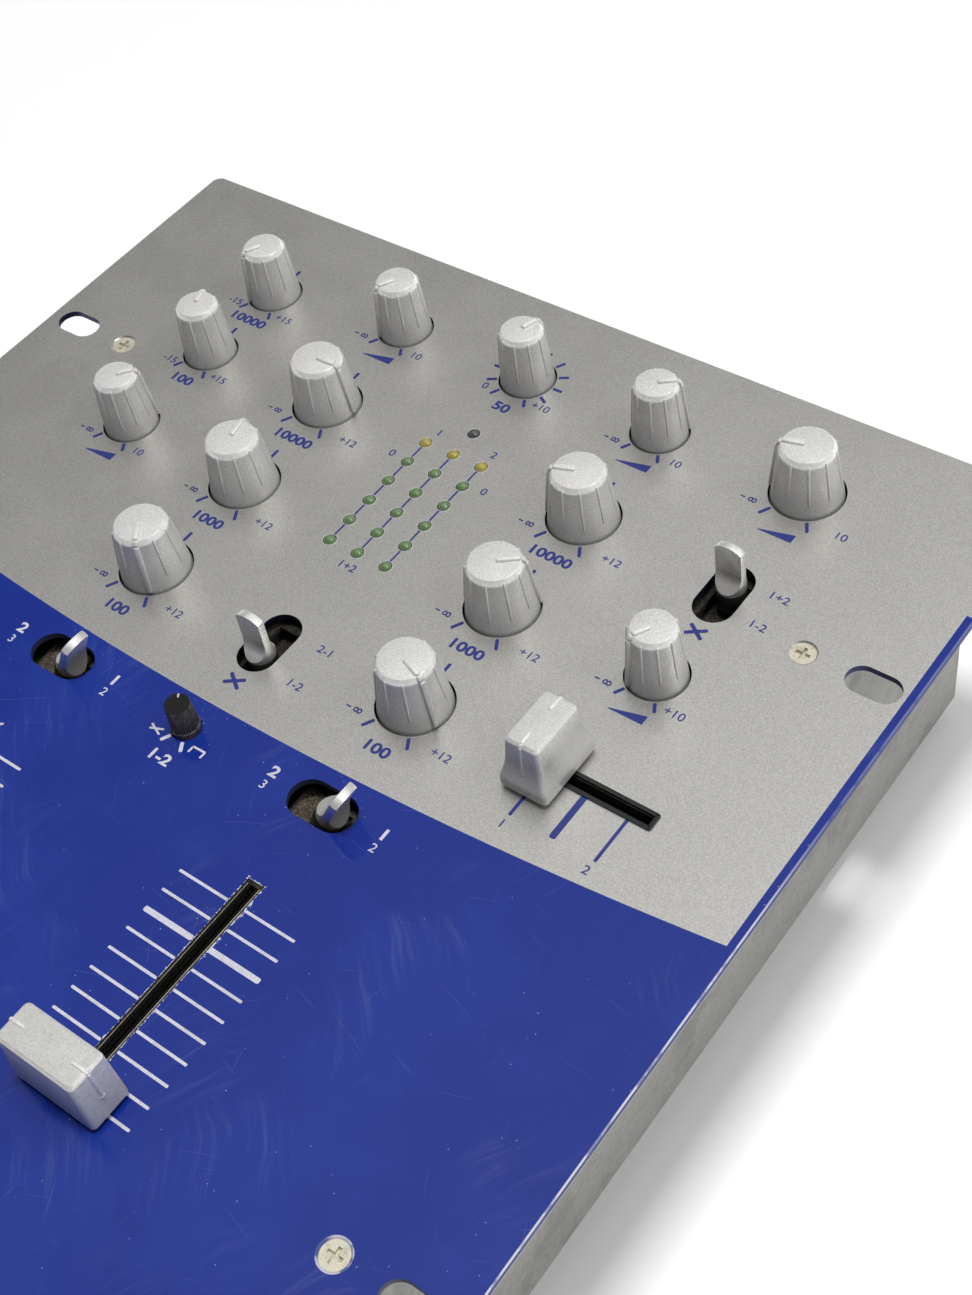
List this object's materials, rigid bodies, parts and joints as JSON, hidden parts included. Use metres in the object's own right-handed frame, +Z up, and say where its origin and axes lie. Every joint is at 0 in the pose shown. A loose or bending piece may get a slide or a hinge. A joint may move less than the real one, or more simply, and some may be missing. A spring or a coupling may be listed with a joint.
{
  "type": "dj mixer",
  "caption": "Desktop disc jockey mixer: flat panel with rack ears over a steel tray, ribbed tone knobs, paddle switches, level lamps and sliding faders.",
  "frame": {"origin": "on the table under the middle of the top panel", "axes": "+X to the operator's right, +Y to the back where the leads plug in, +Z up"},
  "size_m": [0.254, 0.287, 0.0928],
  "materials": {
    "panel_finish": "silver enamel at the back, deep blue gloss at the front, scratched",
    "tray_steel": "grey-beige hammered enamel, stained",
    "circuit_board": "green solder mask on glass-epoxy board",
    "brass": "turned brass",
    "zinc_screw": "pale yellow zinc plate",
    "pot_metal": "tinned steel",
    "black_plastic": "moulded black plastic",
    "bezel_black": "black slot liner",
    "green_lamp": "diffused green lens",
    "yellow_lamp": "diffused yellow lens",
    "dark_lamp": "dark grey lens",
    "foot_rubber": "black rubber",
    "gold_contact": "gold-flashed contact sleeve",
    "socket_steel": "nickel-plated steel",
    "ribbon_grey": "grey flat cable",
    "knob_silver": "silver-painted plastic with worn bright rims",
    "knob_black": "fluted black plastic with a pale pointer",
    "lever_chrome": "satin chromed paddle",
    "cap_silver": "silver-painted plastic cap"
  },
  "bodies": {
    "chassis": {"top_panel": "panel_finish", "chassis_tray": "tray_steel", "control_board": "circuit_board", "board_standoffs": "brass", "board_screws": "zinc_screw", "pot_bodies": "pot_metal", "toggle_bodies": "black_plastic", "mode_switch_bodies": "black_plastic", "fader_frames": "pot_metal", "fader_bezels": "bezel_black", "green_leds": "green_lamp", "yellow_leds": "yellow_lamp", "power_led": "dark_lamp", "led_spacers": "black_plastic", "panel_screws": "zinc_screw", "rubber_feet": "foot_rubber", "foot_screws": "zinc_screw", "rear_jack_board": "circuit_board", "phono_housings": "black_plastic", "phono_barrels": "gold_contact", "usb_socket": "socket_steel", "power_socket": "black_plastic", "power_switch_frame": "black_plastic", "rear_switch_frames": "black_plastic", "ground_screw": "zinc_screw", "headphone_socket": "black_plastic", "microphone_socket": "black_plastic", "socket_nuts": "socket_steel", "ribbon_cable": "ribbon_grey", "ribbon_headers": "black_plastic"},
    "ch1_gain_knob": {"ch1_gain_knob": "knob_silver"},
    "ch1_treble_knob": {"ch1_treble_knob": "knob_silver"},
    "ch1_mid_knob": {"ch1_mid_knob": "knob_silver"},
    "ch1_bass_knob": {"ch1_bass_knob": "knob_silver"},
    "ch2_gain_knob": {"ch2_gain_knob": "knob_silver"},
    "ch2_treble_knob": {"ch2_treble_knob": "knob_silver"},
    "ch2_mid_knob": {"ch2_mid_knob": "knob_silver"},
    "ch2_bass_knob": {"ch2_bass_knob": "knob_silver"},
    "sub_bass_knob": {"sub_bass_knob": "knob_silver"},
    "master_knob": {"master_knob": "knob_silver"},
    "cue_gain_knob": {"cue_gain_knob": "knob_silver"},
    "mic_treble_knob": {"mic_treble_knob": "knob_silver"},
    "mic_bass_knob": {"mic_bass_knob": "knob_silver"},
    "mic_gain_knob": {"mic_gain_knob": "knob_silver"},
    "slope_knob": {"slope_knob": "knob_black"},
    "ch1_input_toggle": {"ch1_input_toggle": "lever_chrome"},
    "ch2_input_toggle": {"ch2_input_toggle": "lever_chrome"},
    "crossfade_mode_lever": {"crossfade_mode_lever": "lever_chrome"},
    "cue_mode_lever": {"cue_mode_lever": "lever_chrome"},
    "ch1_fader": {"ch1_fader_cap": "cap_silver", "ch1_fader_carriage": "pot_metal"},
    "ch2_fader": {"ch2_fader_cap": "cap_silver", "ch2_fader_carriage": "pot_metal"},
    "cue_fader": {"cue_fader_cap": "cap_silver", "cue_fader_carriage": "pot_metal"},
    "crossfader": {"crossfader_cap": "cap_silver", "crossfader_carriage": "pot_metal"},
    "ch1_rear_slider": {"ch1_rear_slider": "black_plastic"},
    "ch2_rear_slider": {"ch2_rear_slider": "black_plastic"},
    "power_rocker": {"power_rocker": "black_plastic"}
  },
  "joints": [
    {"name": "ch1_gain_turn", "type": "hinge", "parent": "chassis", "child": "ch1_gain_knob", "pos_m": [-0.0385, 0.118, 0.0766], "axis": [0, 0, 1], "range_deg": [-300, 0]},
    {"name": "ch1_treble_turn", "type": "hinge", "parent": "chassis", "child": "ch1_treble_knob", "pos_m": [-0.0385, 0.0867, 0.0766], "axis": [0, 0, 1], "range_deg": [-62, 238]},
    {"name": "ch1_mid_turn", "type": "hinge", "parent": "chassis", "child": "ch1_mid_knob", "pos_m": [-0.0385, 0.0555, 0.0766], "axis": [0, 0, 1], "range_deg": [-161, 139]},
    {"name": "ch1_bass_turn", "type": "hinge", "parent": "chassis", "child": "ch1_bass_knob", "pos_m": [-0.0385, 0.0243, 0.0766], "axis": [0, 0, 1], "range_deg": [-5, 295]},
    {"name": "ch2_gain_turn", "type": "hinge", "parent": "chassis", "child": "ch2_gain_knob", "pos_m": [0.0385, 0.118, 0.0766], "axis": [0, 0, 1], "range_deg": [-96, 204]},
    {"name": "ch2_treble_turn", "type": "hinge", "parent": "chassis", "child": "ch2_treble_knob", "pos_m": [0.0385, 0.0867, 0.0766], "axis": [0, 0, 1], "range_deg": [-260, 40]},
    {"name": "ch2_mid_turn", "type": "hinge", "parent": "chassis", "child": "ch2_mid_knob", "pos_m": [0.0385, 0.0555, 0.0766], "axis": [0, 0, 1], "range_deg": [-97, 203]},
    {"name": "ch2_bass_turn", "type": "hinge", "parent": "chassis", "child": "ch2_bass_knob", "pos_m": [0.0385, 0.0243, 0.0766], "axis": [0, 0, 1], "range_deg": [-40, 260]},
    {"name": "sub_bass_turn", "type": "hinge", "parent": "chassis", "child": "sub_bass_knob", "pos_m": [0, 0.118, 0.0766], "axis": [0, 0, 1], "range_deg": [-132, 168]},
    {"name": "master_turn", "type": "hinge", "parent": "chassis", "child": "master_knob", "pos_m": [0.0781, 0.118, 0.0766], "axis": [0, 0, 1], "range_deg": [-255, 45]},
    {"name": "cue_gain_turn", "type": "hinge", "parent": "chassis", "child": "cue_gain_knob", "pos_m": [0.0781, 0.057, 0.0766], "axis": [0, 0, 1], "range_deg": [-300, 0]},
    {"name": "mic_treble_turn", "type": "hinge", "parent": "chassis", "child": "mic_treble_knob", "pos_m": [-0.0781, 0.1123, 0.0766], "axis": [0, 0, 1], "range_deg": [-300, 0]},
    {"name": "mic_bass_turn", "type": "hinge", "parent": "chassis", "child": "mic_bass_knob", "pos_m": [-0.0781, 0.0867, 0.0766], "axis": [0, 0, 1], "range_deg": [-172, 128]},
    {"name": "mic_gain_turn", "type": "hinge", "parent": "chassis", "child": "mic_gain_knob", "pos_m": [-0.0781, 0.057, 0.0766], "axis": [0, 0, 1], "range_deg": [-110, 190]},
    {"name": "slope_turn", "type": "hinge", "parent": "chassis", "child": "slope_knob", "pos_m": [0, -0.0067, 0.0766], "axis": [0, 0, 1], "range_deg": [-184, 116]},
    {"name": "ch1_input_throw", "type": "hinge", "parent": "chassis", "child": "ch1_input_toggle", "pos_m": [-0.0385, -0.0067, 0.0711], "axis": [0, 1, 0], "range_deg": [-56, 0]},
    {"name": "ch2_input_throw", "type": "hinge", "parent": "chassis", "child": "ch2_input_toggle", "pos_m": [0.0385, -0.0067, 0.0711], "axis": [0, 1, 0], "range_deg": [-56, 0]},
    {"name": "crossfade_mode_throw", "type": "slide", "parent": "chassis", "child": "crossfade_mode_lever", "axis": [0, 1, 0], "range_m": [0, 0.006]},
    {"name": "cue_mode_throw", "type": "slide", "parent": "chassis", "child": "cue_mode_lever", "axis": [0, 1, 0], "range_m": [-0.006, 0]},
    {"name": "ch1_fader_slide", "type": "slide", "parent": "chassis", "child": "ch1_fader", "axis": [0, 1, 0], "range_m": [0, 0.045]},
    {"name": "ch2_fader_slide", "type": "slide", "parent": "chassis", "child": "ch2_fader", "axis": [0, 1, 0], "range_m": [0, 0.045]},
    {"name": "cue_fader_slide", "type": "slide", "parent": "chassis", "child": "cue_fader", "axis": [1, 0, 0], "range_m": [0, 0.0208]},
    {"name": "crossfader_slide", "type": "slide", "parent": "chassis", "child": "crossfader", "axis": [1, 0, 0], "range_m": [-0.0225, 0.0225]},
    {"name": "ch1_rear_throw", "type": "slide", "parent": "chassis", "child": "ch1_rear_slider", "axis": [1, 0, 0], "range_m": [0, 0.004]},
    {"name": "ch2_rear_throw", "type": "slide", "parent": "chassis", "child": "ch2_rear_slider", "axis": [1, 0, 0], "range_m": [0, 0.004]},
    {"name": "power_rock", "type": "hinge", "parent": "chassis", "child": "power_rocker", "pos_m": [0.096, 0.1321, 0.038], "axis": [1, 0, 0], "range_deg": [-16, 0]}
  ]
}
